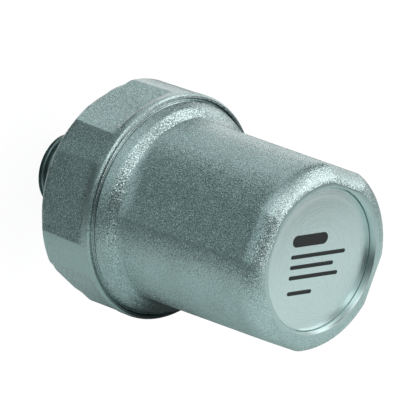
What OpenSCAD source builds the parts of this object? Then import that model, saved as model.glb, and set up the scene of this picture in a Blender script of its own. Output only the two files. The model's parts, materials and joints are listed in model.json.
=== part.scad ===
// Spring-loaded water hammer arrestor, thread end down, axis along +Z.
// The origin is the centre of the thread's end face. All sizes are in millimetres.

/* [Thread stub] */
// Major radius of the male pipe thread
thread_r = 10.4775; // [9:0.0005:16.5]
// Length of the thread, from its end face to the relief groove
thread_len = 12.3; // [9:0.1:22]
// Chamfer on the thread's end
thread_chamfer = 0.5; // [0.3:0.1:1.4]
// Depth of the relief groove under the major radius
relief_depth = 1.3; // [0.5:0.1:1.6]
// Width of the relief groove
relief_w = 1.6; // [1:0.1:4]
// Overhang of the sealing boss past the thread
boss_overhang = 3; // [1.5:0.1:6]
// Height of the sealing boss
boss_h = 1.6; // [1:0.1:5]
// Wall between the inlet bore and the thread's major radius
inlet_wall = 3.5; // [2.6:0.1:4.5]
// Chamfer on the inlet's mouth
inlet_chamfer = 0.6; // [0.2:0.1:1]

/* [Body] */
// Height of the floor between the body's back face and the funnel
floor_t = 0.8; // [0.5:0.1:4]
// Height of the funnel that widens the inlet
funnel_h = 5.5; // [3:0.1:9]
// Height of the water chamber above the funnel
chamber_h = 6; // [2:0.1:10]
// Width of the ledge that stops the piston
ledge_w = 3.5; // [2:0.1:6]
// Height of the ledge's side wall
ledge_h = 1.2; // [0.6:0.1:3]
// Width of the bare ring face around the cap's flange
collar_step = 1.6; // [1:0.05:5]
// Height of the turned collar in front of the wrench flats
collar_h = 3.6; // [1.5:0.1:6]
// Rise of the front face, from its outer edge to the flange
face_rise = 0.2; // [0.1:0.05:1]
// Radius that the body loses from the collar to the back cone
body_taper = 0.3; // [0.1:0.05:0.8]
// Chamfer on the collar's front edge
front_edge = 0.5; // [0.1:0.05:0.8]
// Number of wrench flats
flats = 6; // [6:1:8]
// Depth of the flats under the turned corners
flat_depth = 2.2; // [1:0.1:2.8]
// Slope of the wall where a flat runs out at the collar, in degrees
flat_runout = 25; // [5:1:50]
// Radial width of the 45 degree cone behind the flats
back_cone = 4.2; // [1:0.1:6]
// Rise of the dished back face, from the boss to the cone
back_rise = 2.2; // [0.5:0.1:4]

/* [Cap] */
// Radius of the bore that guides the piston
bore_r = 20.8; // [17:0.1:26]
// Height of the cap above the flange's seat
cap_h = 55.3; // [45:0.05:80]
// Wall of the barrel at its rounded corners
barrel_wall = 4.6; // [3:0.1:5]
// Number of flats along the barrel
barrel_flats = 4; // [3:1:8]
// Depth of the barrel's flats under its corners
barrel_flat = 1; // [0.3:0.05:1.2]
// Turn of the barrel's flats from those of the body once the cap is tight, in degrees
barrel_turn = -13; // [-30:1:30]
// Wall of the screwed skirt
skirt_wall = 4.4; // [4.2:0.1:7]
// Length of the skirt below the flange's seat
skirt_len = 10.2; // [6:0.1:16]
// Chamfer on the skirt's end
skirt_edge = 0.6; // [0.2:0.1:1.5]
// Width of the flange's contact face outside the seal
flange_land = 1.35; // [0.8:0.05:4]
// Height of the flange's band
flange_h = 3; // [2:0.1:8]
// Radius that the flange's band loses towards the shoulder
flange_draft = 1.25; // [0.2:0.05:1.5]
// Chamfer on the flange's lower edge, which shows as the seam
seam_edge = 0.25; // [0.1:0.05:0.5]
// Height of the edge break between the flange's band and the shoulder
flange_edge = 0.2; // [0.1:0.05:0.8]
// Fillet on the barrel's end
end_fillet = 5.1; // [3:0.1:6]
// Depth of the recess for the label
recess_depth = 2.2; // [1.5:0.1:4]
// Chamfer on the recess's rim
rim_edge = 0.4; // [0.1:0.05:0.45]
// Wall between the recess and the bore
end_wall = 4.4; // [2.5:0.05:8]
// Fillet in the closed end of the bore
bore_fillet = 2; // [0.5:0.1:3]
// Lead-in chamfer at the bore's mouth, for the seals
bore_lead = 1.4; // [0.5:0.1:2.5]
// Height of the boss inside the cap that centres the spring
boss_guide_h = 2.5; // [1:0.1:5]

/* [Label] */
// Thickness of the label disc
disc_t = 0.4; // [0.2:0.05:1]
// Radial room around the label disc
disc_room = 0.2; // [0.1:0.05:0.6]

/* [Piston] */
// Height of the piston
piston_h = 17; // [15:0.1:24]
// Radial clearance of the piston in the bore
piston_clearance = 0.05; // [0.02:0.01:0.1]
// Chamfer on the piston's edges
piston_edge = 0.6; // [0.2:0.1:1]
// Depth of the dish under the piston
dish_depth = 2; // [1:0.1:3]
// Distance of the dish's rim from the edge of the ledge
dish_inset = 1; // [0.5:0.1:3]
// Thickness of the web between the dish and the spring pocket
web_t = 4; // [2.5:0.1:6]
// Wall between the spring pocket and the seal grooves
piston_wall = 2.5; // [1.5:0.1:3.5]
// Distance of each seal groove's middle from the nearer end of the piston
groove_inset = 5; // [3.5:0.1:6]
// Height of the hollow stud that centres the spring
stud_h = 6; // [3:0.1:10]
// Wall of the hollow stud
stud_wall = 2.7; // [1.5:0.1:4]
// Gap between the resting piston and its ledge
stop_gap = 0.1; // [0.05:0.05:0.3]

/* [Seals] */
// Section diameter of the piston's two seal rings
piston_seal_d = 2.3; // [1.6:0.1:3]
// Section diameter of the cap's seal ring
cap_seal_d = 2.2; // [1.6:0.1:3.2]
// Clearance on each side of a seal ring's section
seal_clearance = 0.05; // [0.02:0.01:0.1]
// Room beside a piston seal ring in its groove
seal_room = 0.7; // [0.3:0.1:1.2]

/* [Spring] */
// Diameter of the spring's wire
wire_d = 3.6; // [2.4:0.1:4.4]
// Number of turns, with the two closed end turns
turns = 8; // [6:1:9]
// Radial room between the spring and what guides it
spring_room = 0.4; // [0.2:0.1:0.8]

/* [Hidden] */
$fn = 96;
cut = 1;                                  // how far a cutting shape runs past the face it opens
fillet_bite = 0.03;                       // how far the flats' end fillet would rise past the faces it joins
thread_fit = 0.1;                         // radial gap between the skirt and its socket
skirt_end_room = 0.3;                     // gap under the skirt's end
ledge_room = 0.3;                         // radial gap between the resting piston and the ledge's wall
wire_sides = 8;                           // faces around the spring's wire
turn_steps = 18;                          // rings of points in each turn of the spring

// Radii, from the piston's bore outwards
piston_r = bore_r - piston_clearance;
skirt_r = bore_r + skirt_wall;
socket_r = skirt_r + thread_fit;
mouth_r = skirt_r + cap_seal_d + 2 * seal_clearance;
flange_r = mouth_r + flange_land;
flange_top_r = flange_r - flange_draft;
turned_r = flange_r + collar_step;
shank_r = turned_r - body_taper;
barrel_r = bore_r + barrel_wall;
barrel_flat_r = barrel_r - barrel_flat;
recess_r = barrel_flat_r - end_fillet;
chamber_r = bore_r - ledge_w;
ledge_r = piston_r + ledge_room;
inlet_r = thread_r - inlet_wall;
boss_r = thread_r + boss_overhang;

// Radii, from the piston's bore inwards
groove_r = bore_r - piston_seal_d - 2 * seal_clearance;
pocket_r = groove_r - piston_wall;
spring_r = pocket_r - spring_room - wire_d / 2;
guide_r = spring_r - wire_d / 2 - spring_room;

// Heights, from the thread's end face upwards
boss_z = thread_len + relief_w;
body_z = boss_z + boss_h;
funnel_z = body_z + floor_t;
chamber_z = funnel_z + funnel_h;
stop_z = chamber_z + chamber_h;
socket_z = stop_z + ledge_h;
skirt_z = socket_z + skirt_end_room;
seat_z = skirt_z + skirt_len;
front_z = seat_z - face_rise;
shoulder_z = seat_z + flange_h;
face_z = seat_z + cap_h;
recess_z = face_z - recess_depth;
bore_top_z = recess_z - end_wall;
seal_pocket_h = cap_seal_d + 2 * seal_clearance;
piston_z = stop_z + stop_gap;
piston_top_z = piston_z + piston_h;
pocket_z = piston_z + dish_depth + web_t;
groove_w = piston_seal_d + seal_room;
lower_groove_z = piston_z + groove_inset;
upper_groove_z = piston_top_z - groove_inset;

// Height of the spring's wire centre after a number of turns: closed, open, closed
end_rise = 1.05 * wire_d;                 // rise of a closed end turn
tip_h = 0.3 * wire_d;                     // height of the wire's centre at its ground tip
open_rise = (bore_top_z - pocket_z - 2 * (tip_h + end_rise)) / (turns - 2);
function wire_z(t) = pocket_z + tip_h
    + end_rise * (min(t, 1) + max(t - turns + 1, 0))
    + open_rise * min(max(t - 1, 0), turns - 2);
function wire_point(t, a) =
    let (r = spring_r + wire_d / 2 * cos(a))
    [r * cos(360 * t), r * sin(360 * t), wire_z(t) + wire_d / 2 * sin(a)];

// One seal ring around the axis
module seal_ring(mean_r, section_d, z) {
    translate([0, 0, z])
        rotate_extrude()
            translate([mean_r, 0])
                circle(d = section_d, $fn = 32);
}

// Half section of the body as turned, before the flats are cut
module body_section() {
    polygon([
        [inlet_r + inlet_chamfer, 0],
        [thread_r - thread_chamfer, 0],
        [thread_r, thread_chamfer],
        [thread_r, thread_len],
        [thread_r - relief_depth, thread_len],
        [thread_r - relief_depth, boss_z],
        [boss_r, boss_z],
        [boss_r, body_z],
        [shank_r - back_cone, body_z + back_rise],
        [shank_r, body_z + back_rise + back_cone],
        [turned_r, front_z - front_edge],
        [turned_r - front_edge, front_z],
        [flange_r, seat_z],
        [mouth_r, seat_z],
        [mouth_r, seat_z - seal_pocket_h],
        [socket_r, seat_z - seal_pocket_h],
        [socket_r, socket_z],
        [ledge_r, socket_z],
        [ledge_r, stop_z],
        [chamber_r, stop_z],
        [chamber_r, chamber_z],
        [inlet_r, funnel_z],
        [inlet_r, inlet_chamfer]
    ]);
}

// What is cut away over one wrench flat, with its sloped runout at the collar
module flat_cut() {
    flat_r = turned_r - flat_depth;
    reach = flat_depth + cut;
    foot_z = front_z - collar_h;
    rotate([90, 0, 0])
        linear_extrude(height = 2 * turned_r, center = true)
            polygon([
                [flat_r, body_z - cut],
                [flat_r + reach, body_z - cut],
                [flat_r + reach, foot_z + reach * tan(flat_runout)],
                [flat_r, foot_z]
            ]);
}

module body() {
    color([0.60, 0.62, 0.62])
        difference() {
            rotate_extrude() body_section();
            for (i = [0 : flats - 1])
                rotate([0, 0, i * 360 / flats]) flat_cut();
        }
}

// Half section of the cap's skirt, flange and 45 degree shoulder
module flange_section() {
    tip_r = barrel_flat_r - cut;
    polygon([
        [0, skirt_z],
        [skirt_r - skirt_edge, skirt_z],
        [skirt_r, skirt_z + skirt_edge],
        [skirt_r, seat_z],
        [flange_r - seam_edge, seat_z],
        [flange_r, seat_z + seam_edge],
        [flange_top_r + flange_draft * flange_edge / flange_h, shoulder_z - flange_edge],
        [flange_top_r - flange_edge * cos(45), shoulder_z + flange_edge * sin(45)],
        [tip_r, shoulder_z + flange_top_r - tip_r],
        [0, shoulder_z + flange_top_r - tip_r]
    ]);
}

// Half section of the barrel as turned, from inside the flange to the end fillet
module barrel_section() {
    polygon([
        [0, seat_z + flange_h / 2],
        [barrel_r, seat_z + flange_h / 2],
        [barrel_r, face_z - end_fillet],
        [barrel_r - end_fillet, face_z],
        [0, face_z]
    ]);
    translate([barrel_r - end_fillet, face_z - end_fillet])
        circle(r = end_fillet);
}

// What is cut away over one of the barrel's flats, with the end fillet that goes with it
module barrel_flat_cut() {
    rotate([90, 0, 0])
        linear_extrude(height = 2 * barrel_r, center = true) {
            translate([barrel_flat_r, seat_z])
                square([barrel_flat + cut, face_z - seat_z + cut]);
            difference() {
                translate([barrel_flat_r - end_fillet, face_z - end_fillet])
                    square([end_fillet + cut, end_fillet + cut]);
                translate([barrel_flat_r - end_fillet, face_z - end_fillet])
                    circle(r = end_fillet + fillet_bite);
            }
        }
}

module barrel() {
    difference() {
        rotate_extrude() barrel_section();
        for (i = [0 : barrel_flats - 1])
            rotate([0, 0, barrel_turn + i * 360 / barrel_flats]) barrel_flat_cut();
    }
}

// Half section of the cap's bore, with the boss that centres the spring left standing
module cap_bore() {
    difference() {
        union() {
            polygon([
                [0, skirt_z - cut],
                [bore_r + bore_lead, skirt_z - cut],
                [bore_r + bore_lead, skirt_z],
                [bore_r, skirt_z + bore_lead],
                [bore_r, bore_top_z - bore_fillet],
                [bore_r - bore_fillet, bore_top_z],
                [0, bore_top_z]
            ]);
            translate([bore_r - bore_fillet, bore_top_z - bore_fillet])
                circle(r = bore_fillet);
        }
        translate([0, bore_top_z - boss_guide_h])
            square([guide_r, boss_guide_h + cut]);
    }
}

// Half section of the recess for the label, with its chamfered rim
module recess_section() {
    polygon([
        [0, recess_z],
        [recess_r, recess_z],
        [recess_r, face_z - rim_edge],
        [recess_r + rim_edge + cut, face_z + cut],
        [0, face_z + cut]
    ]);
}

module cap() {
    color([0.62, 0.65, 0.65])
        difference() {
            union() {
                rotate_extrude() flange_section();
                barrel();
            }
            rotate_extrude() cap_bore();
            rotate_extrude() recess_section();
        }
}

module label_disc() {
    color([0.80, 0.83, 0.82])
        translate([0, 0, recess_z])
            cylinder(r = recess_r - disc_room, h = disc_t);
}

module cap_seal_ring() {
    color([0.07, 0.07, 0.07])
        seal_ring((skirt_r + mouth_r) / 2, cap_seal_d, seat_z - seal_pocket_h / 2);
}

// Groove for one piston seal ring, as half section
module groove_section(z) {
    translate([groove_r, z - groove_w / 2])
        square([piston_r - groove_r + cut, groove_w]);
}

// Half section of the piston
module piston_section() {
    dish_r = chamber_r - dish_inset;
    difference() {
        polygon([
            [0, piston_z + dish_depth],
            [dish_r - dish_depth, piston_z + dish_depth],
            [dish_r, piston_z],
            [piston_r - piston_edge, piston_z],
            [piston_r, piston_z + piston_edge],
            [piston_r, piston_top_z - piston_edge],
            [piston_r - piston_edge, piston_top_z],
            [pocket_r + piston_edge, piston_top_z],
            [pocket_r, piston_top_z - piston_edge],
            [pocket_r, pocket_z],
            [guide_r, pocket_z],
            [guide_r, pocket_z + stud_h - piston_edge],
            [guide_r - piston_edge, pocket_z + stud_h],
            [guide_r - stud_wall, pocket_z + stud_h],
            [guide_r - stud_wall, pocket_z],
            [0, pocket_z]
        ]);
        groove_section(lower_groove_z);
        groove_section(upper_groove_z);
    }
}

module piston() {
    color([0.90, 0.89, 0.84])
        rotate_extrude() piston_section();
}

module piston_seal_lower() {
    color([0.07, 0.07, 0.07])
        seal_ring((groove_r + bore_r) / 2, piston_seal_d, lower_groove_z);
}

module piston_seal_upper() {
    color([0.07, 0.07, 0.07])
        seal_ring((groove_r + bore_r) / 2, piston_seal_d, upper_groove_z);
}

// Wire swept along the coil, before its ends are ground
module coiled_wire() {
    n = wire_sides;
    rings = turns * turn_steps;
    points = [
        for (i = [0 : rings])
            for (j = [0 : n - 1])
                wire_point(i / turn_steps, 360 * j / n)
    ];
    skin = [
        for (i = [0 : rings - 1])
            for (j = [0 : n - 1])
                [i * n + j, i * n + (j + 1) % n, (i + 1) * n + (j + 1) % n, (i + 1) * n + j]
    ];
    first_end = [for (j = [0 : n - 1]) n - 1 - j];
    last_end = [for (j = [0 : n - 1]) rings * n + j];
    polyhedron(points, concat(skin, [first_end, last_end]));
}

module spring() {
    color([0.55, 0.56, 0.58])
        intersection() {
            coiled_wire();
            translate([0, 0, pocket_z])
                cylinder(r = pocket_r, h = bore_top_z - pocket_z);
        }
}

body();
cap();
label_disc();
cap_seal_ring();
piston();
piston_seal_lower();
piston_seal_upper();
spring();
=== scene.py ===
"""The looks of a screw-in water hammer arrestor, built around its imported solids.

Lengths are in metres. The arrestor's axis is +Z, with the thread's end face at Z = 0.
"""
import json
import math

import bpy
from mathutils import Matrix, Vector


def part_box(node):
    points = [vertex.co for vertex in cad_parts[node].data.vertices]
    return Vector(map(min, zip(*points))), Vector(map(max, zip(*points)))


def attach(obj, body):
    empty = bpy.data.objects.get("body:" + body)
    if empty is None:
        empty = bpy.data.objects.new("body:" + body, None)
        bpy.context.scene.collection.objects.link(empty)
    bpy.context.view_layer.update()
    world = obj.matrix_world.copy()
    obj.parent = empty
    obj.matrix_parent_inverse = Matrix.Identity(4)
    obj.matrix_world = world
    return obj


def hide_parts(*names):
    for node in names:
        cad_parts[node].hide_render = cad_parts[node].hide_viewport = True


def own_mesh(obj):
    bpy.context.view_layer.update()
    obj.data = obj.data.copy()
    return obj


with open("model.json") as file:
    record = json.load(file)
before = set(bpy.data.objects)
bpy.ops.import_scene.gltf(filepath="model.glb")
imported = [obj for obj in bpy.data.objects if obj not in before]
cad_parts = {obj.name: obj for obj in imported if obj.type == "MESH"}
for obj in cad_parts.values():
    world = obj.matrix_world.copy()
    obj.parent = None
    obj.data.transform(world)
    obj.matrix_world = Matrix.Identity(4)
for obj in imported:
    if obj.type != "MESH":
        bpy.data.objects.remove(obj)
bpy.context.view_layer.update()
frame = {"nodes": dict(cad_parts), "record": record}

MM = 0.001

# Sizes that the solids give
body_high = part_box("body")[1]
cap_low, cap_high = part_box("cap")
disc_low, disc_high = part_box("label_disc")
spring_low, spring_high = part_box("spring")
thread_mount = frame["record"]["mounts"][0]
THREAD_R = thread_mount["dims"]["r_mm"] * MM
TURNED_R = body_high.x
SEAT_Z = body_high.z
FLANGE_R = cap_high.x
SKIRT_Z = cap_low.z
FACE_Z = cap_high.z
RECESS_Z = disc_low.z
BORE_TOP_Z = spring_high.z

# Thread stub
THREAD_LEN = 12.3 * MM
THREAD_CHAMFER = 0.5 * MM
THREAD_PITCH = 25.4 / 14 * MM
THREAD_DEPTH = 1.162 * MM
THREAD_FLAT = 0.12
THREAD_ROWS = 14
THREAD_START = math.radians(207)
RELIEF_R = THREAD_R - 1.3 * MM
BOSS_R = THREAD_R + 3 * MM
BOSS_Z = THREAD_LEN + 1.6 * MM
INLET_R = THREAD_R - 3.5 * MM
INLET_CHAMFER = 0.6 * MM

# Body outside
BODY_Z = BOSS_Z + 1.6 * MM
SHANK_R = TURNED_R - 0.3 * MM
BACK_CONE = 4.2 * MM
CONE_Z = BODY_Z + 2.2 * MM
FRONT_Z = SEAT_Z - 0.2 * MM
FRONT_EDGE = 0.5 * MM
FLATS = 6
FLAT_R = TURNED_R - 2.2 * MM
FLAT_TOP_Z = FRONT_Z - 3.6 * MM
FLAT_RUNOUT = math.radians(25)

# Cap outside
BORE_R = 20.8 * MM
BARREL_R = BORE_R + 4.6 * MM
BARREL_FLATS = 4
BARREL_FLAT_R = BARREL_R - 1 * MM
BARREL_TURN = math.radians(-13)
SKIRT_R = BORE_R + 4.4 * MM
SHOULDER_Z = SEAT_Z + 3 * MM
SHOULDER_R = FLANGE_R - 1.25 * MM
FLANGE_DRAFT = math.atan2(FLANGE_R - SHOULDER_R, SHOULDER_Z - SEAT_Z)
FLANGE_EDGE = 0.2 * MM
END_FILLET = 5.1 * MM
FILLET_BITE = 0.03 * MM
RECESS_R = BARREL_FLAT_R - END_FILLET
RIM_EDGE = 0.4 * MM

# Groove that shows as the seam between body and flange
PARTING = 0.5 * MM
PARTING_DROP = 0.05 * MM

# Inside of the cap and of the body
BORE_LEAD = 1.4 * MM
BORE_FILLET = 2 * MM
GUIDE_R = 11.5 * MM
GUIDE_H = 2.5 * MM
MOUTH_R = SKIRT_R + 2.3 * MM
SEAL_POCKET_H = 2.3 * MM
SOCKET_R = SKIRT_R + 0.1 * MM
LEDGE_R = BORE_R + 0.25 * MM
CHAMBER_R = BORE_R - 3.5 * MM
FUNNEL_Z = BODY_Z + 0.8 * MM
CHAMBER_Z = FUNNEL_Z + 5.5 * MM
STOP_Z = CHAMBER_Z + 6 * MM
SOCKET_Z = STOP_Z + 1.2 * MM

# Printed bars on the label, as (height of the middle, length, thickness), where they start and how they run
BAR = 1.1 * MM
PRINT_BARS = [
    (5.6 * MM, 13 * MM, 3.2 * MM),
    (1.4 * MM, 20 * MM, BAR),
    (-1.4 * MM, 16 * MM, BAR),
    (-4.2 * MM, 18 * MM, BAR),
    (-8.4 * MM, 9 * MM, BAR),
]
PRINT_START = -10 * MM
PRINT_TURN = math.radians(-174)
PRINT_H = 0.02 * MM

# Spring, with the rise of a closed end turn and the height of the wire's middle at its tip
WIRE_D = 3.6 * MM
SPRING_GAP = 0.02 * MM
SPRING_TURNS = 8
END_RISE = 1.05 * WIRE_D
TIP_H = 0.3 * WIRE_D

# Small roundings on edges and in corners
EDGE = 0.15 * MM
SOFT_EDGE = 0.3 * MM
SHOULDER_BLEND = 0.1 * MM
EDGE_BLEND = 0.25 * MM

# Fineness of the meshes: columns around the axis, closer ones beside a flat's edge, and gaps between rows
BODY_COLUMNS = 120
CAP_COLUMNS = 168
LABEL_COLUMNS = 192
EDGE_COLUMNS = [math.radians(d) for d in (-1.2, -0.8, -0.4, -0.13, 0.13, 0.4, 0.8, 1.2)]
EDGE_CLEAR = math.radians(1.5)
WIDE_GAP = 2 * MM
FLAT_GAP = 0.3 * MM
FOOT_GAP = 0.12 * MM
FOOT_REACH = 1.6 * MM

# Fineness of arcs, bars and coil, and the angle from which an edge counts as sharp
ARC_STEPS = 3
MORE_ARC_STEPS = 15
BAR_END_STEPS = 8
COIL_STEPS = 40
WIRE_SIDES = 16
SHARP_ANGLE = math.radians(50)

# Surfaces: middle part of a noise's values, widths of cloudy patches and of lathe marks
NOISE_RANGE = (0.3, 0.7)
BLASTED_CLOUD = 9 * MM
TURNED_CLOUD = 5 * MM
LATHE_MARK = 0.16 * MM

# Places of a mix node's factor, of its two colours and of their mix
MIX_FACTOR, MIX_A, MIX_B, MIX_RESULT = 0, 6, 7, 2

# Camera: tilt of the axis from the line of sight, roll of the picture, turn about the axis from +X
VIEW_TILT = math.radians(48.5)
VIEW_ROLL = math.radians(19.7)
VIEW_TURN = math.radians(-13.3)
PICTURE_W = 109.4 * MM
PICTURE_SHIFT = (9.95 * MM, -0.77 * MM)

# Lens and sensor, in millimetres as Blender takes them
LENS = 1500
SENSOR = 36

# Floor and table: the table has a painted shadow close under the arrestor, painted light that fades far
# from its best lit spot, and a painted glow
FLOOR_SIZE = 3
FLOOR_COLOUR = (0.9, 0.9, 0.9)
FLOOR_GLOW = 1.1
FLOOR_GLOW_SHARE = 0.85
TABLE_SIZE = 0.6
TABLE_GAP = TURNED_R + 0.3 * MM
TABLE_COLOUR = (0.88, 0.95, 0.94)
TABLE_GLOW = 0.11
CONTACT_REACH = (8 * MM, 22 * MM)
CONTACT_SHADE = 0.12
CONTACT_GLOW = 0.35
LIT_SIDE = 60 * MM
LIT_REACH = (60 * MM, 240 * MM)
FAR_SHADE = 0.3

# Light of the room, as soft round patches of (azimuth, elevation, inner angle, outer angle, colour)
BLACK = (0, 0, 0)
ROOM = (0.10, 0.12, 0.12)
BACKDROP = (160, -40, 62, 71)
LIGHTS = [
    # Window on the right, and the backdrop behind and below the arrestor
    (85, 4, 8, 52, (1.74, 1.66, 1.66)),
    (*BACKDROP, (0.76, 0.79, 0.79)),
    # Two lamps high on the right, each with its glow
    (26, 41, 5, 40, (0.5, 0.5, 0.5)),
    (26, 41, 4, 16, (1.0, 1.0, 1.0)),
    (115, 49, 9, 30, (0.6, 0.6, 0.6)),
    (115, 49, 4, 16, (1.1, 1.1, 1.1)),
    # Fill light from the left, from behind and from the ceiling
    (-45, 52, 18, 55, (0.36, 0.42, 0.42)),
    (-165, 47, 5, 25, (0.60, 0.66, 0.66)),
    (-85, 3, 10, 40, (0.05, 0.06, 0.06)),
    (0, 80, 10, 45, (0.2, 0.2, 0.2)),
]


def view_axes():
    """The picture's right and up directions, and the direction towards the camera."""
    near = Vector((math.cos(VIEW_TURN), math.sin(VIEW_TURN), 0))
    side = Vector((-math.sin(VIEW_TURN), math.cos(VIEW_TURN), 0))
    axis = Vector((0, 0, 1))
    back = math.sin(VIEW_TILT) * near + math.cos(VIEW_TILT) * axis
    along = math.sin(VIEW_TILT) * axis - math.cos(VIEW_TILT) * near
    right = math.cos(VIEW_ROLL) * along - math.sin(VIEW_ROLL) * side
    up = -math.sin(VIEW_ROLL) * along - math.cos(VIEW_ROLL) * side
    return right, up, back


VIEW_RIGHT, VIEW_UP, VIEW_BACK = view_axes()


def studio_direction(azimuth, elevation):
    """A direction in the studio, in which the arrestor lies level: azimuth 0 is the camera's side."""
    pitch = math.atan2(-VIEW_UP.z, VIEW_BACK.z)
    studio_up = math.cos(pitch) * VIEW_UP + math.sin(pitch) * VIEW_BACK
    studio_front = math.cos(pitch) * VIEW_BACK - math.sin(pitch) * VIEW_UP
    a, e = math.radians(azimuth), math.radians(elevation)
    level = math.sin(a) * VIEW_RIGHT + math.cos(a) * studio_front
    return math.cos(e) * level + math.sin(e) * studio_up


# Outlines and lathe work

def rounded(corners, closed):
    """Points of an outline through (r, z, rounding) corners, with an arc at each rounded corner."""
    points = []
    for i, (r, z, rounding) in enumerate(corners):
        here = Vector((r, z))
        if not rounding or (not closed and i in (0, len(corners) - 1)):
            points.append(here)
            continue
        before = (Vector(corners[i - 1][:2]) - here).normalized()
        after = (Vector(corners[(i + 1) % len(corners)][:2]) - here).normalized()
        half = before.angle(after) / 2
        centre = here + (before + after).normalized() * rounding / math.sin(half)
        start = here + before * rounding / math.tan(half) - centre
        end = here + after * rounding / math.tan(half) - centre
        steps = ARC_STEPS + min(MORE_ARC_STEPS, int(rounding / SOFT_EDGE))
        for k in range(steps + 1):
            points.append(centre + start.lerp(end, k / steps).normalized() * rounding)
    return points


def refined(points, gap_at, closed):
    """The outline with points added, so that no gap is wider than gap_at(r, z) says for its middle."""
    dense = []
    for here, after in zip(points, points[1:] + points[:1]):
        middle = (here + after) / 2
        pieces = max(1, math.ceil((after - here).length / gap_at(middle.x, middle.y)))
        if not closed and here is points[-1]:
            pieces = 1
        dense += [here.lerp(after, k / pieces) for k in range(pieces)]
    return dense


def even_columns(count):
    """Angles spaced evenly around the axis."""
    return [2 * math.pi * k / count for k in range(count)]


def lathe(name, outline, columns, finish_at, radius_at=None, closed=True):
    """A turned piece. For (r, z, angle), radius_at gives a shape that isn't round, finish_at a material."""
    vertices, rings = [], []
    for r, z in outline:
        if r == 0:
            rings.append([len(vertices)])
            vertices.append((0, 0, z))
            continue
        rings.append(range(len(vertices), len(vertices) + len(columns)))
        for angle in columns:
            radius = radius_at(r, z, angle) if radius_at else r
            vertices.append((radius * math.cos(angle), radius * math.sin(angle), z))
    faces, finishes = [], []
    pairs = list(zip(rings, rings[1:] + rings[:1] if closed else rings[1:]))
    for i, (low, high) in enumerate(pairs):
        middle = (outline[i] + outline[(i + 1) % len(outline)]) / 2
        for j in range(len(columns)):
            k = (j + 1) % len(columns)
            if len(low) == 1:
                faces.append((low[0], high[k], high[j]))
            elif len(high) == 1:
                faces.append((low[j], low[k], high[0]))
            else:
                faces.append((low[j], low[k], high[k], high[j]))
            finishes.append(finish_at(middle.x, middle.y, columns[j]))
    return mesh_piece(name, vertices, faces, finishes)


def mesh_piece(name, vertices, faces, finishes):
    """A smooth-shaded object made of these faces, with one material for each finish."""
    mesh = bpy.data.meshes.new(name)
    mesh.from_pydata(vertices, [], faces)
    used = list(dict.fromkeys(finishes))
    for finish in used:
        mesh.materials.append(finish)
    mesh.polygons.foreach_set("material_index", [used.index(f) for f in finishes])
    mesh.shade_smooth()
    mesh.set_sharp_from_angle(angle=SHARP_ANGLE)
    mesh.update()
    piece = bpy.data.objects.new(name, mesh)
    bpy.context.scene.collection.objects.link(piece)
    return piece


# Materials

def add_node(tree, kind, inputs=None, **settings):
    """A new shader node with these settings. An input is a constant or another node's output."""
    node = tree.nodes.new(kind)
    for name, value in settings.items():
        setattr(node, name, value)
    for name, value in (inputs or {}).items():
        if isinstance(value, bpy.types.NodeSocket):
            tree.links.new(value, node.inputs[name])
        else:
            node.inputs[name].default_value = value
    return node


def new_material(name, metallic):
    """A material, its node tree and its Principled shader."""
    material = bpy.data.materials.new(name)
    material.use_nodes = True
    tree = material.node_tree
    shader = tree.nodes["Principled BSDF"]
    shader.inputs["Metallic"].default_value = metallic
    return material, tree, shader


def noise(tree, where, size, detail):
    """Noise whose lumps are about size across."""
    inputs = {"Vector": where, "Scale": 1 / size, "Detail": detail}
    return add_node(tree, "ShaderNodeTexNoise", inputs).outputs["Fac"]


def ramp(tree, value, low, high, start, end):
    """value mapped smoothly from low..high to start..end."""
    return add_node(tree, "ShaderNodeMapRange", {
        "Value": value, "From Min": low, "From Max": high, "To Min": start, "To Max": end,
    }, interpolation_type="SMOOTHSTEP").outputs["Result"]


def maths(tree, operation, a, b):
    """One arithmetic step."""
    return add_node(tree, "ShaderNodeMath", {0: a, 1: b}, operation=operation).outputs[0]


def mixed(tree, factor, colour_a, colour_b):
    """colour_a where factor is 0, colour_b where it is 1."""
    inputs = {MIX_FACTOR: factor, MIX_A: (*colour_a, 1), MIX_B: (*colour_b, 1)}
    return add_node(tree, "ShaderNodeMix", inputs, data_type="RGBA").outputs[MIX_RESULT]


def place(tree):
    """Where a point is on the arrestor, in metres."""
    return add_node(tree, "ShaderNodeTexCoord").outputs["Object"]


def lathe_place(tree):
    """The point's distance from the axis and its height, which stay the same all round."""
    axes = add_node(tree, "ShaderNodeSeparateXYZ", {0: place(tree)}).outputs
    flat = add_node(tree, "ShaderNodeCombineXYZ", {0: axes[0], 1: axes[1]}).outputs[0]
    radius = add_node(tree, "ShaderNodeVectorMath", {0: flat}, operation="LENGTH").outputs["Value"]
    return add_node(tree, "ShaderNodeCombineXYZ", {0: radius, 1: axes[2]}).outputs[0]


def bumped(tree, shader, height, depth):
    """Gives the shader a relief of this depth."""
    bump = add_node(tree, "ShaderNodeBump", {"Height": height, "Distance": depth})
    tree.links.new(bump.outputs["Normal"], shader.inputs["Normal"])


def grained(tree, shader, where, grain, tilt):
    """Gives the shader a blasted surface: dimples about as wide as grain, which lean by about tilt."""
    dimples = add_node(tree, "ShaderNodeTexNoise", {
        "Vector": where, "Scale": 1 / grain, "Detail": 1.0, "Roughness": 0.6,
    }).outputs["Color"]
    lean = add_node(tree, "ShaderNodeVectorMath", {
        0: dimples, 1: [tilt] * 3, 2: [-tilt / 2] * 3,
    }, operation="MULTIPLY_ADD").outputs[0]
    level = add_node(tree, "ShaderNodeNewGeometry").outputs["Normal"]
    leaning = add_node(tree, "ShaderNodeVectorMath", {0: level, 1: lean}, operation="ADD").outputs[0]
    normal = add_node(tree, "ShaderNodeVectorMath", {0: leaning}, operation="NORMALIZE").outputs[0]
    tree.links.new(normal, shader.inputs["Normal"])


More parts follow.
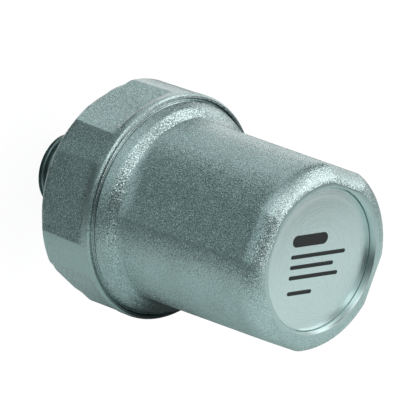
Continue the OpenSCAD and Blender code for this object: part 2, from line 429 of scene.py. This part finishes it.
def blasted_metal(name, dark, light, grain, tilt, roughness):
    """Nickel plate over a bead-blasted surface with grains about as wide as grain."""
    material, tree, shader = new_material(name, metallic=1.0)
    where = place(tree)
    speckle = noise(tree, where, grain * 0.9, detail=1.0)
    patches = noise(tree, where, BLASTED_CLOUD, detail=3.0)
    fine_shade = ramp(tree, speckle, 0.35, 0.65, 0, 0.85)
    broad_shade = ramp(tree, patches, *NOISE_RANGE, 0, 0.15)
    shade = maths(tree, "ADD", fine_shade, broad_shade)
    gloss = ramp(tree, speckle, *NOISE_RANGE, roughness * 1.25, roughness * 0.75)
    tree.links.new(mixed(tree, shade, dark, light), shader.inputs["Base Color"])
    tree.links.new(gloss, shader.inputs["Roughness"])
    grained(tree, shader, where, grain, tilt)
    return material


def turned_metal(name, dark, light, roughness, depth):
    """Plated metal with fine lathe marks around the axis."""
    material, tree, shader = new_material(name, metallic=1.0)
    marks = noise(tree, lathe_place(tree), LATHE_MARK, detail=2.0)
    patches = noise(tree, place(tree), TURNED_CLOUD, detail=3.0)
    gloss = ramp(tree, marks, *NOISE_RANGE, roughness * 0.8, roughness * 1.2)
    tree.links.new(mixed(tree, patches, dark, light), shader.inputs["Base Color"])
    tree.links.new(gloss, shader.inputs["Roughness"])
    bumped(tree, shader, marks, depth)
    return material


def moulded(name, dark, light, roughness, grain, depth):
    """Rubber, plastic or ink with a faint mottle."""
    material, tree, shader = new_material(name, metallic=0.0)
    speckle = noise(tree, place(tree), grain, detail=3.0)
    gloss = ramp(tree, speckle, *NOISE_RANGE, roughness, roughness * 1.2)
    tree.links.new(mixed(tree, speckle, dark, light), shader.inputs["Base Color"])
    tree.links.new(gloss, shader.inputs["Roughness"])
    bumped(tree, shader, speckle, depth)
    return material


BLASTED = blasted_metal("blasted_nickel", (0.33, 0.42, 0.41), (0.60, 0.75, 0.74), 0.28 * MM, 1.2, 0.2)
FORGED = blasted_metal("forged_nickel", (0.29, 0.38, 0.37), (0.62, 0.78, 0.77), 0.34 * MM, 1.3, 0.2)
SATIN = blasted_metal("satin_nickel", (0.42, 0.53, 0.52), (0.51, 0.64, 0.63), 0.3 * MM, 0.7, 0.24)
COARSE = blasted_metal("coarse_nickel", (0.26, 0.34, 0.33), (0.69, 0.85, 0.84), 0.35 * MM, 1.1, 0.19)
# Painted shade: the groove between body and flange is coloured darker, standing in for the shade that falls
# in it
GROOVE_PAINTED_SHADE = blasted_metal("groove_nickel_painted_shade", (0.09, 0.12, 0.12), (0.31, 0.39, 0.39), 0.3 * MM, 0.5, 0.22)
# Painted shade: the thread stub has the same plate as the body, coloured darker as if it lay in shadow
THREADED_PAINTED_SHADE = turned_metal("threaded_nickel_painted_shade", (0.16, 0.21, 0.21), (0.30, 0.38, 0.38), 0.2, 0.01 * MM)
TURNED = turned_metal("turned_nickel", (0.44, 0.54, 0.53), (0.54, 0.66, 0.65), 0.22, 0.01 * MM)
POLISHED = turned_metal("polished_recess", (0.58, 0.68, 0.67), (0.66, 0.77, 0.76), 0.12, 0.004 * MM)
LABEL = turned_metal("satin_disc", (0.66, 0.76, 0.75), (0.70, 0.81, 0.80), 0.30, 0.002 * MM)
INK = moulded("label_ink", (0.006, 0.008, 0.008), (0.012, 0.015, 0.015), 0.6, 0.3 * MM, 0.002 * MM)
RUBBER = moulded("seal_rubber", (0.012, 0.012, 0.012), (0.022, 0.022, 0.022), 0.55, 0.4 * MM, 0.01 * MM)
PLASTIC = moulded("piston_plastic", (0.72, 0.71, 0.66), (0.78, 0.77, 0.72), 0.4, 0.8 * MM, 0.01 * MM)
STEEL = turned_metal("spring_wire", (0.40, 0.41, 0.42), (0.52, 0.53, 0.55), 0.3, 0.01 * MM)


# Body: thread stub, wrench flats, turned corners and collar

def thread_groove(turns):
    """Depth share of the thread's groove, 0 on the crest and 1 at the root."""
    rise = abs(turns % 1 - 0.5) * 2
    flank = min(1, max(0, (rise - THREAD_FLAT) / (1 - 2 * THREAD_FLAT)))
    return 0.5 - 0.5 * math.cos(math.pi * flank)


def soft_min(a, b, blend):
    """The smaller of two lengths, with the edge between them rounded."""
    near = max(0, blend - abs(a - b)) / blend
    return min(a, b) - near * near * blend / 4


def from_flat(angle, flats, turn=0.0):
    """The angle from the middle of the nearest of some evenly spaced flats."""
    sector = 2 * math.pi / flats
    return (angle - turn + sector / 2) % sector - sector / 2


def flat_columns(around, flats, edge, turn=0.0):
    """Angles around the axis, closer together at the edges of the flats."""
    half = math.pi / flats
    count = around // flats
    offsets = [half * k / count for k in range(-count, count)]
    offsets = [o for o in offsets if abs(abs(o) - edge) > EDGE_CLEAR]
    offsets += [side * edge + d for side in (-1, 1) for d in EDGE_COLUMNS]
    return [turn + 2 * half * i + o for i in range(flats) for o in sorted(offsets)]


def body_radius(r, z, angle):
    """The turned outline's radius, cut by the thread's groove and by the wrench flats."""
    if z <= THREAD_LEN:
        turns = z / THREAD_PITCH - (angle - THREAD_START) / (2 * math.pi)
        return min(r, THREAD_R - THREAD_DEPTH * thread_groove(turns))
    flat = FLAT_R + max(0, z - FLAT_TOP_Z) / math.tan(FLAT_RUNOUT)
    return soft_min(r, flat / math.cos(from_flat(angle, FLATS)), EDGE)


def body_row_gap(r, z):
    """Widest gap between the body's rows of points, close only on the thread and where the flats end."""
    if z < THREAD_LEN and r > RELIEF_R:
        return THREAD_PITCH / THREAD_ROWS
    if r > FLAT_R and (z > FLAT_TOP_Z - SOFT_EDGE or z < CONE_Z + BACK_CONE):
        return FLAT_GAP
    return WIDE_GAP


def make_body():
    """The body with its thread and flats, from the thread's end round to the inlet bore."""
    corners = [
        (INLET_R + INLET_CHAMFER, 0, EDGE),
        (THREAD_R - THREAD_CHAMFER, 0, EDGE),
        (THREAD_R, THREAD_CHAMFER, EDGE),
        (THREAD_R, THREAD_LEN, EDGE),
        (RELIEF_R, THREAD_LEN, SOFT_EDGE),
        (RELIEF_R, BOSS_Z, SOFT_EDGE),
        (BOSS_R, BOSS_Z, EDGE),
        (BOSS_R, BODY_Z, SOFT_EDGE),
        (SHANK_R - BACK_CONE, CONE_Z, 2 * SOFT_EDGE),
        (SHANK_R, CONE_Z + BACK_CONE, 2 * SOFT_EDGE),
        (TURNED_R, FRONT_Z - FRONT_EDGE, SOFT_EDGE),
        (TURNED_R - FRONT_EDGE, FRONT_Z, EDGE),
        (FLANGE_R + PARTING, SEAT_Z - PARTING_DROP, 0),
        (FLANGE_R, SEAT_Z - PARTING, 0),
        (FLANGE_R - PARTING, SEAT_Z, 0),
        (MOUTH_R, SEAT_Z, EDGE),
        (MOUTH_R, SEAT_Z - SEAL_POCKET_H, 0),
        (SOCKET_R, SEAT_Z - SEAL_POCKET_H, EDGE),
        (SOCKET_R, SOCKET_Z, 0),
        (LEDGE_R, SOCKET_Z, EDGE),
        (LEDGE_R, STOP_Z, 0),
        (CHAMBER_R, STOP_Z, EDGE),
        (CHAMBER_R, CHAMBER_Z, SOFT_EDGE),
        (INLET_R, FUNNEL_Z, SOFT_EDGE),
        (INLET_R, INLET_CHAMFER, EDGE),
    ]

    def finish_at(r, z, angle):
        """Threaded plate darkened with painted shade, turned, blasted or satin plate, or the groove under
        the cap's flange, darkened with painted shade.
        """
        if z < CONE_Z or r < FLANGE_R - SOFT_EDGE:
            return THREADED_PAINTED_SHADE if z < BOSS_Z and r > INLET_R + INLET_CHAMFER else TURNED
        if z > FRONT_Z - EDGE and r < TURNED_R - FRONT_EDGE:
            return GROOVE_PAINTED_SHADE
        return FORGED if body_radius(r, z, angle) < r - EDGE else SATIN

    outline = refined(rounded(corners, closed=True), body_row_gap, closed=True)
    edge = math.acos(2 * FLAT_R / (TURNED_R + SHANK_R))
    columns = flat_columns(BODY_COLUMNS, FLATS, edge)
    return lathe("body_shell", outline, columns, finish_at, body_radius)


# Cap: flange, shoulder, barrel with four flats, end fillet and recess

def shoulder_radius(z):
    """Radius of the 45 degree shoulder, which runs on inwards to the flats."""
    return SHOULDER_R - (z - SHOULDER_Z)


def cap_radius(r, z, angle):
    """The turned outline's radius, cut by the barrel's flats and by their share of the end fillet."""
    if z < SHOULDER_Z + FLANGE_EDGE:
        return r
    rise = max(0, z - FACE_Z + END_FILLET)
    fillet = math.sqrt((END_FILLET + FILLET_BITE) ** 2 - rise ** 2) - END_FILLET
    flat = (BARREL_FLAT_R + min(0, fillet)) / math.cos(from_flat(angle, BARREL_FLATS, BARREL_TURN))
    radius = soft_min(r, flat, EDGE)
    return -soft_min(-radius, -shoulder_radius(z), SHOULDER_BLEND) if r > SKIRT_R else radius


def cap_row_gap(r, z):
    """Widest gap between the cap's rows of points, close only where the shoulder meets the flats."""
    foot = abs(z - SHOULDER_Z - SHOULDER_R + BARREL_R)
    return FOOT_GAP if r > SKIRT_R and foot < FOOT_REACH else WIDE_GAP


def make_cap():
    """The cap, from the guide for the spring round by the skirt and the flange to the recess."""
    bevel = FLANGE_EDGE * math.sqrt(0.5)
    corners = [
        (0, BORE_TOP_Z - GUIDE_H, 0),
        (GUIDE_R, BORE_TOP_Z - GUIDE_H, EDGE),
        (GUIDE_R, BORE_TOP_Z, EDGE),
        (BORE_R, BORE_TOP_Z, BORE_FILLET),
        (BORE_R, SKIRT_Z + BORE_LEAD, EDGE),
        (BORE_R + BORE_LEAD, SKIRT_Z, EDGE),
        (SKIRT_R, SKIRT_Z, SOFT_EDGE),
        (SKIRT_R, SEAT_Z, 0),
        (FLANGE_R - PARTING, SEAT_Z, 0),
        (FLANGE_R - PARTING * math.tan(FLANGE_DRAFT), SEAT_Z + PARTING, EDGE),
        (SHOULDER_R + FLANGE_EDGE * math.tan(FLANGE_DRAFT), SHOULDER_Z - FLANGE_EDGE, EDGE_BLEND),
        (SHOULDER_R - bevel, SHOULDER_Z + bevel, EDGE_BLEND),
        (BARREL_R, SHOULDER_Z + SHOULDER_R - BARREL_R, 0),
        (BARREL_R, FACE_Z, END_FILLET),
        (RECESS_R + RIM_EDGE, FACE_Z, EDGE / 2),
        (RECESS_R, FACE_Z - RIM_EDGE, EDGE),
        (RECESS_R, RECESS_Z, EDGE),
        (0, RECESS_Z, 0),
    ]

    def finish_at(r, z, angle):
        """Polished recess, groove darkened with painted shade, coarse shoulder, blasted outside or turned
        inside.
        """
        if r <= RECESS_R + EDGE and z > BORE_TOP_Z:
            return POLISHED
        if r > SKIRT_R and z < SEAT_Z + PARTING:
            return GROOVE_PAINTED_SHADE
        if r > SKIRT_R and z > SHOULDER_Z and abs(r - shoulder_radius(z)) < SHOULDER_BLEND:
            return COARSE
        return BLASTED if r > SKIRT_R or (z > SHOULDER_Z and r > BORE_R) else TURNED

    outline = refined(rounded(corners, closed=False), cap_row_gap, closed=False)
    edge = math.acos(BARREL_FLAT_R / BARREL_R)
    columns = flat_columns(CAP_COLUMNS, BARREL_FLATS, edge, BARREL_TURN)
    return lathe("cap_shell", outline, columns, finish_at, cap_radius, closed=False)


# Label: a thin disc with plain printed bars

def make_disc():
    """The plain disc in the recess."""
    radius, low, high = disc_high.x, disc_low.z, disc_high.z
    corners = [(0, low, 0), (radius, low, EDGE / 2), (radius, high, EDGE), (0, high, 0)]
    outline = rounded(corners, closed=False)
    columns = even_columns(LABEL_COLUMNS)
    return lathe("label_face", outline, columns, lambda r, z, angle: LABEL, closed=False)


def stadium(middle, length, height):
    """Points around a bar with round ends, in the label's own right and up directions."""
    half = (length - height) / 2
    angles = [math.pi * k / BAR_END_STEPS - math.pi / 2 for k in range(BAR_END_STEPS + 1)]
    arc = [(math.cos(a) * height / 2, math.sin(a) * height / 2) for a in angles]
    right = [(middle[0] + half + x, middle[1] + y) for x, y in arc]
    return right + [(middle[0] - half - x, middle[1] - y) for x, y in arc]


def make_print():
    """The printed bars, half sunk into the disc."""
    low, high = disc_high.z - PRINT_H, disc_high.z + PRINT_H
    across = Vector((math.cos(PRINT_TURN), math.sin(PRINT_TURN), 0))
    up = Vector((-math.sin(PRINT_TURN), math.cos(PRINT_TURN), 0))
    vertices, faces = [], []
    for v, length, height in PRINT_BARS:
        bar = stadium((PRINT_START + length / 2, v), length, height)
        ring = [x * across + y * up for x, y in bar]
        first, count = len(vertices), len(ring)
        vertices += [point + Vector((0, 0, z)) for z in (low, high) for point in ring]
        faces.append([first + count - 1 - i for i in range(count)])
        faces.append([first + count + i for i in range(count)])
        for i in range(count):
            k = (i + 1) % count
            faces.append([first + i, first + k, first + count + k, first + count + i])
    return mesh_piece("label_print", vertices, faces, [INK] * len(faces))


# Spring: coil with closed, ground ends

def make_spring():
    """The coil, whose wire is cut off flat at both ends."""
    low, high = spring_low.z + SPRING_GAP, spring_high.z - SPRING_GAP
    mean_r = spring_high.x - WIRE_D / 2
    open_turns = SPRING_TURNS - 2
    open_rise = (high - low - 2 * (TIP_H + END_RISE)) / open_turns
    rings = SPRING_TURNS * COIL_STEPS
    vertices, faces = [], []
    for i in range(rings + 1):
        turn = i / COIL_STEPS
        angle = 2 * math.pi * turn
        closed_part = min(turn, 1) + max(turn - SPRING_TURNS + 1, 0)
        open_part = min(max(turn - 1, 0), open_turns)
        z = low + TIP_H + END_RISE * closed_part + open_rise * open_part
        for j in range(WIRE_SIDES):
            a = 2 * math.pi * j / WIRE_SIDES
            r = mean_r + WIRE_D / 2 * math.cos(a)
            height = min(high, max(low, z + WIRE_D / 2 * math.sin(a)))
            vertices.append((r * math.cos(angle), r * math.sin(angle), height))
    for i in range(rings):
        here, after = i * WIRE_SIDES, (i + 1) * WIRE_SIDES
        for j in range(WIRE_SIDES):
            k = (j + 1) % WIRE_SIDES
            faces.append((here + j, here + k, after + k, after + j))
    last = rings * WIRE_SIDES
    faces.append(tuple(range(WIRE_SIDES - 1, -1, -1)))
    faces.append(tuple(range(last, last + WIRE_SIDES)))
    return mesh_piece("spring_coil", vertices, faces, [STEEL] * len(faces))


def dress_node(name, material):
    """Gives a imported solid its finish."""
    mesh = frame["nodes"][name].data
    mesh.materials.clear()
    mesh.materials.append(material)


body = make_body()
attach(body, "housing")
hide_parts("body")

cap = make_cap()
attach(cap, "housing")
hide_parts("cap")

disc = make_disc()
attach(disc, "housing")
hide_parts("label_disc")

bars = make_print()
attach(bars, "housing")

spring = make_spring()
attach(spring, "housing")
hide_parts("spring")
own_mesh(spring)

dress_node("piston", PLASTIC)
for seal in ("piston_seal_lower", "piston_seal_upper", "cap_seal_ring"):
    dress_node(seal, RUBBER)


# Studio

def make_sheet(name, material_name, middle, side_a, side_b):
    """A flat sheet that reaches as far as both sides from its middle, and its empty material's tree."""
    signs = ((-1, -1), (1, -1), (1, 1), (-1, 1))
    mesh = bpy.data.meshes.new(name)
    mesh.from_pydata([middle + a * side_a + b * side_b for a, b in signs], [], [(0, 1, 2, 3)])
    sheet = bpy.data.objects.new(name, mesh)
    bpy.context.scene.collection.objects.link(sheet)
    material = bpy.data.materials.new(material_name)
    material.use_nodes = True
    material.node_tree.nodes.clear()
    mesh.materials.append(material)
    return sheet, material.node_tree


def make_floor():
    """A white floor that keeps a faint shadow and lights nothing."""
    sides = [FLOOR_SIZE * Vector(axis) for axis in ((1, 0, 0), (0, 1, 0))]
    floor, tree = make_sheet("floor", "white_floor", Vector(), *sides)
    paper = add_node(tree, "ShaderNodeBsdfDiffuse", {"Color": (*FLOOR_COLOUR, 1)}).outputs[0]
    glow = add_node(tree, "ShaderNodeEmission", {"Strength": FLOOR_GLOW}).outputs[0]
    both = add_node(tree, "ShaderNodeMixShader", {0: FLOOR_GLOW_SHARE, 1: paper, 2: glow}).outputs[0]
    add_node(tree, "ShaderNodeOutputMaterial", {"Surface": both})
    floor.visible_glossy = False
    floor.visible_diffuse = False


def distance_to(tree, point):
    """How far a place is from this point."""
    ends = {0: place(tree), 1: point}
    return add_node(tree, "ShaderNodeVectorMath", ends, operation="DISTANCE").outputs["Value"]


def make_table():
    """A pale table under the arrestor as it lies in the studio, with a painted shadow, a painted fall-off
    of light and a painted glow. Only the metal's reflections show it.
    """
    up, axis = studio_direction(0, 90), Vector((0, 0, 1))
    middle = SEAT_Z * axis - TABLE_GAP * up
    lit = middle + LIT_SIDE * studio_direction(90, 0)
    sides = TABLE_SIZE * up.cross(axis), TABLE_SIZE * axis
    table, tree = make_sheet("table", "pale_table", middle, *sides)
    # Painted shadow close under the arrestor, and painted light that fades away from the lit spot
    near_shade = ramp(tree, distance_to(tree, middle), *CONTACT_REACH, CONTACT_SHADE, 1)
    far_shade = ramp(tree, distance_to(tree, lit), *LIT_REACH, 1, FAR_SHADE)
    shade = maths(tree, "MULTIPLY", near_shade, far_shade)
    faint_shade = maths(tree, "MULTIPLY", ramp(tree, near_shade, 0, 1, CONTACT_GLOW, 1), far_shade)
    pale, faint = [mixed(tree, share, BLACK, TABLE_COLOUR) for share in (shade, faint_shade)]
    paper = add_node(tree, "ShaderNodeBsdfDiffuse", {"Color": pale}).outputs[0]
    # Painted glow: the table gives off light though it is no lamp
    glow = add_node(tree, "ShaderNodeEmission", {"Color": faint, "Strength": TABLE_GLOW}).outputs[0]
    both = add_node(tree, "ShaderNodeAddShader", {0: paper, 1: glow}).outputs[0]
    add_node(tree, "ShaderNodeOutputMaterial", {"Surface": both})
    table.visible_camera = False
    table.visible_diffuse = False
    table.visible_shadow = False


def patch_share(tree, direction, azimuth, elevation, inner, outer):
    """A soft-edged round patch of the room: 1 inside the inner angle, 0 outside the outer one."""
    ends = {0: direction, 1: studio_direction(azimuth, elevation)}
    facing = add_node(tree, "ShaderNodeVectorMath", ends, operation="DOT_PRODUCT").outputs["Value"]
    edges = [math.cos(math.radians(angle)) for angle in (outer, inner)]
    return ramp(tree, facing, *edges, 0, 1)


def make_world():
    """A dim room with lamps and a window. The camera sees white, and so do reflections of the backdrop."""
    world = bpy.data.worlds.new("studio")
    bpy.context.scene.world = world
    world.use_nodes = True
    world.cycles.sampling_method = "NONE"
    tree = world.node_tree
    tree.nodes.clear()
    direction = add_node(tree, "ShaderNodeTexCoord").outputs["Generated"]
    total = (*ROOM, 1)
    for *patch, colour in LIGHTS:
        light = mixed(tree, patch_share(tree, direction, *patch), BLACK, colour)
        both = {MIX_FACTOR: 1, MIX_A: total, MIX_B: light}
        added = add_node(tree, "ShaderNodeMix", both, data_type="RGBA", blend_type="ADD")
        total = added.outputs[MIX_RESULT]
    room = add_node(tree, "ShaderNodeBackground", {"Color": total}).outputs[0]
    white = add_node(tree, "ShaderNodeBackground", {"Color": (1, 1, 1, 1)}).outputs[0]
    path = add_node(tree, "ShaderNodeLightPath").outputs
    mirrored = maths(tree, "MULTIPLY", path["Is Glossy Ray"], patch_share(tree, direction, *BACKDROP))
    seen = maths(tree, "MAXIMUM", path["Is Camera Ray"], path["Is Transmission Ray"])
    seen = maths(tree, "MAXIMUM", seen, mirrored)
    shown = add_node(tree, "ShaderNodeMixShader", {0: seen, 1: room, 2: white}).outputs[0]
    add_node(tree, "ShaderNodeOutputWorld", {"Surface": shown})


def make_camera():
    """A long lens at the photograph's viewing angle."""
    data = bpy.data.cameras.new("camera")
    data.lens = LENS
    data.sensor_width = SENSOR
    distance = PICTURE_W * LENS / SENSOR
    data.clip_end = 2 * distance
    camera = bpy.data.objects.new("camera", data)
    target = Vector((0, 0, SEAT_Z)) + PICTURE_SHIFT[0] * VIEW_RIGHT + PICTURE_SHIFT[1] * VIEW_UP
    turn = Matrix((VIEW_RIGHT, VIEW_UP, VIEW_BACK)).transposed().to_4x4()
    camera.matrix_world = Matrix.Translation(target + distance * VIEW_BACK) @ turn
    bpy.context.scene.collection.objects.link(camera)
    bpy.context.scene.camera = camera


make_floor()
make_table()
make_world()
make_camera()
bpy.context.scene.view_settings.view_transform = "Standard"
